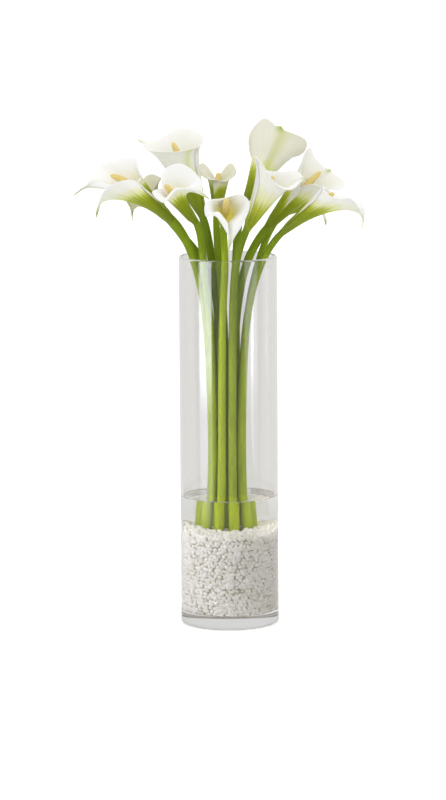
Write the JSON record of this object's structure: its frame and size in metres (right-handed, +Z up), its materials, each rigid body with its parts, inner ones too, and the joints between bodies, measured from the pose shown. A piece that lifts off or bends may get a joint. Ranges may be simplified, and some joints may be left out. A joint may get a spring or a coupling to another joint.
{
  "type": "calla lily bouquet in a glass cylinder vase",
  "caption": "White calla lilies standing in white gravel and water in a tall clear glass cylinder vase, their rolled blooms spreading over the rim.",
  "frame": {"origin": "centre of the vase's flat bottom, on the surface it stands on", "axes": "+Z up along the vase's axis, -Y towards the front, +X to the right seen from the front"},
  "size_m": [0.2929, 0.1745, 0.5151],
  "materials": {
    "glass": "clear and polished, thick at the base",
    "gravel": "white marble pebbles, matt, with shadowed gaps",
    "water": "clear, still",
    "stem": "fleshy, smooth, a soft sheen, darker up under the flowers",
    "spathe": "creamy white and velvety, turning green down the funnel",
    "spadix": "yellow, powdery, finely beaded"
  },
  "bodies": {
    "root": {"vase": "glass", "gravel": "gravel", "water": "water", "stem_01": "stem", "spathe_01": "spathe", "spadix_01": "spadix", "stem_02": "stem", "spathe_02": "spathe", "spadix_02": "spadix", "stem_03": "stem", "spathe_03": "spathe", "spadix_03": "spadix", "stem_04": "stem", "spathe_04": "spathe", "spadix_04": "spadix", "stem_05": "stem", "spathe_05": "spathe", "spadix_05": "spadix", "stem_06": "stem", "spathe_06": "spathe", "spadix_06": "spadix", "stem_07": "stem", "spathe_07": "spathe", "spadix_07": "spadix", "stem_08": "stem", "spathe_08": "spathe", "spadix_08": "spadix", "stem_09": "stem", "spathe_09": "spathe", "spadix_09": "spadix", "stem_10": "stem", "spathe_10": "spathe", "spadix_10": "spadix", "stem_11": "stem", "spathe_11": "spathe", "spadix_11": "spadix", "stem_12": "stem", "spathe_12": "spathe", "spadix_12": "spadix"}
  },
  "joints": []
}
